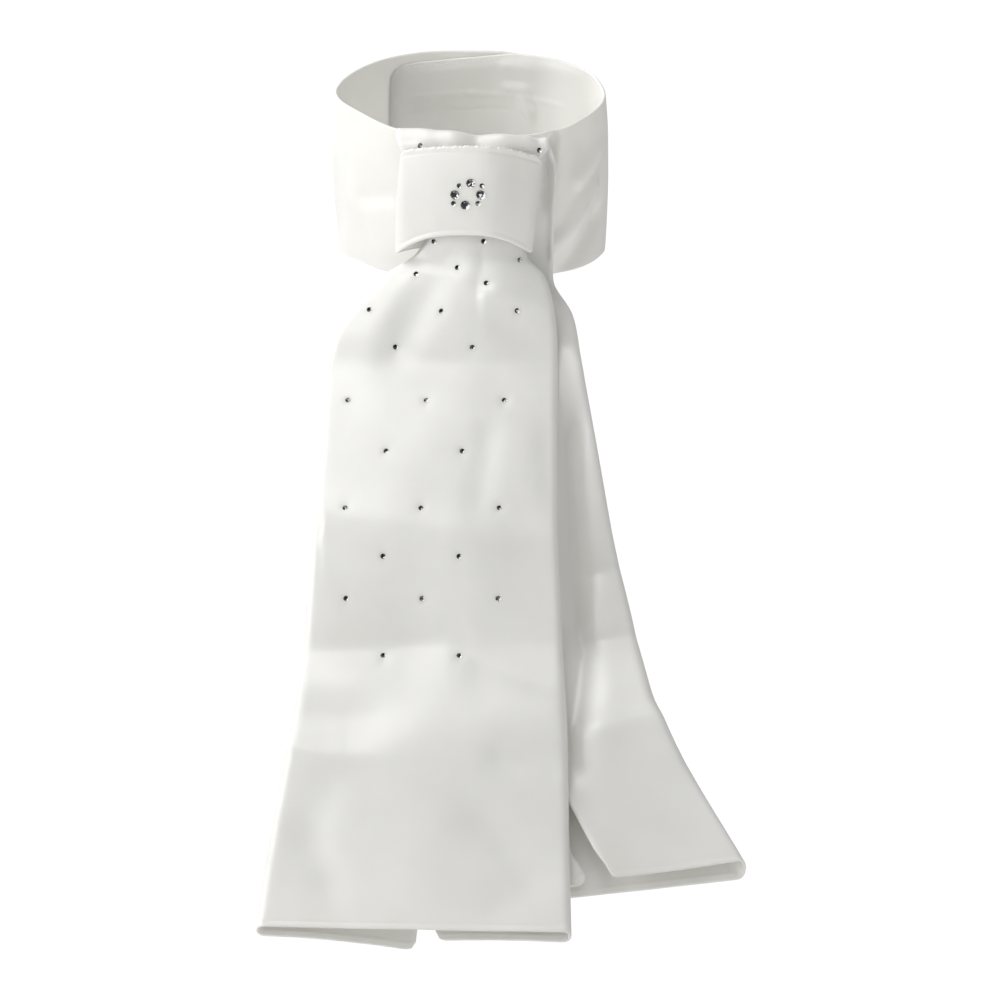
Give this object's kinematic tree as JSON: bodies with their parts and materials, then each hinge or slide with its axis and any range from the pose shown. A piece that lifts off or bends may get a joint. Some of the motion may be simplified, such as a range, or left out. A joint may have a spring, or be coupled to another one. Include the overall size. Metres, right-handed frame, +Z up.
{
  "type": "stock tie",
  "caption": "White satin riding stock tie, ready tied: tall neck band, flat knot band with a ring of stones, front tail dotted with small stones and a plain rear tail.",
  "frame": {"origin": "middle of the hollow of the neck band, where the neck passes through", "axes": "+Z up along the wearer, -Y to the wearer's front, where the knot and tails hang, +X to the viewer's right of the knot"},
  "size_m": [0.2068, 0.2613, 0.3776],
  "materials": {
    "satin": "white satin weave, soft sheen",
    "hook_and_loop": "white hook-and-loop, matt",
    "crystal": "clear cut glass with a silver foil back"
  },
  "bodies": {
    "root": {"neck_band": "satin", "knot_band": "satin", "front_tail": "satin", "back_tail": "satin", "closure_patch": "hook_and_loop", "stone_ring_1": "crystal", "stone_ring_2": "crystal", "stone_ring_3": "crystal", "stone_ring_4": "crystal", "stone_ring_5": "crystal", "stone_ring_6": "crystal", "stone_ring_7": "crystal", "stone_ring_8": "crystal", "stone_1": "crystal", "stone_2": "crystal", "stone_3": "crystal", "stone_4": "crystal", "stone_5": "crystal", "stone_6": "crystal", "stone_7": "crystal", "stone_8": "crystal", "stone_9": "crystal", "stone_10": "crystal", "stone_11": "crystal", "stone_12": "crystal", "stone_13": "crystal", "stone_14": "crystal", "stone_15": "crystal", "stone_16": "crystal", "stone_17": "crystal", "stone_18": "crystal", "stone_19": "crystal", "stone_20": "crystal", "stone_21": "crystal", "stone_22": "crystal", "stone_23": "crystal", "stone_24": "crystal", "stone_25": "crystal", "stone_26": "crystal", "stone_27": "crystal", "stone_28": "crystal"}
  },
  "joints": []
}
